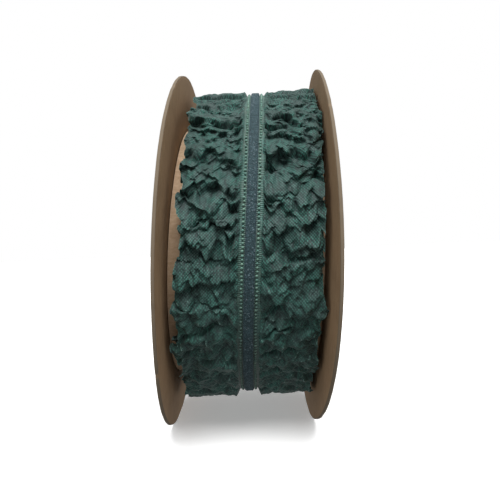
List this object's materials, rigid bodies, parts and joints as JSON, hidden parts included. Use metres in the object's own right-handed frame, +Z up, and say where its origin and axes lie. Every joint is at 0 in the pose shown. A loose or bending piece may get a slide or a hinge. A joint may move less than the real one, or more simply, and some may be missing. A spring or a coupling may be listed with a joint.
{
  "type": "roll of ruffled satin ribbon on a card spool",
  "caption": "Card spool with round side discs, wound with gathered, crumpled satin ribbon; a narrow velvet stripe with a bead edging is sewn along the ribbon's middle.",
  "frame": {"origin": "on the surface that the rims stand on, under the middle of the spool's whole box", "axes": "+X along the spool's axis to the right disc, +Z up, -Y the side shown in the picture"},
  "size_m": [0.0478, 0.1, 0.0995],
  "materials": {
    "kraft_card": "matt brown card, slightly fibrous, paler at the cut rim",
    "core_card": "matt light brown wound card",
    "crushed_satin": "dark green crushed satin with sharp creases and a soft sheen",
    "ribbed_tape": "fine ribbed green satin tape with a lighter bead edging",
    "velvet": "short blue-grey velvet pile with small bright specks"
  },
  "bodies": {
    "root": {"flange_left": "kraft_card", "flange_right": "kraft_card", "core_tube": "core_card", "ruffle_roll": "crushed_satin", "centre_tape": "ribbed_tape", "velvet_stripe": "velvet"}
  },
  "joints": []
}
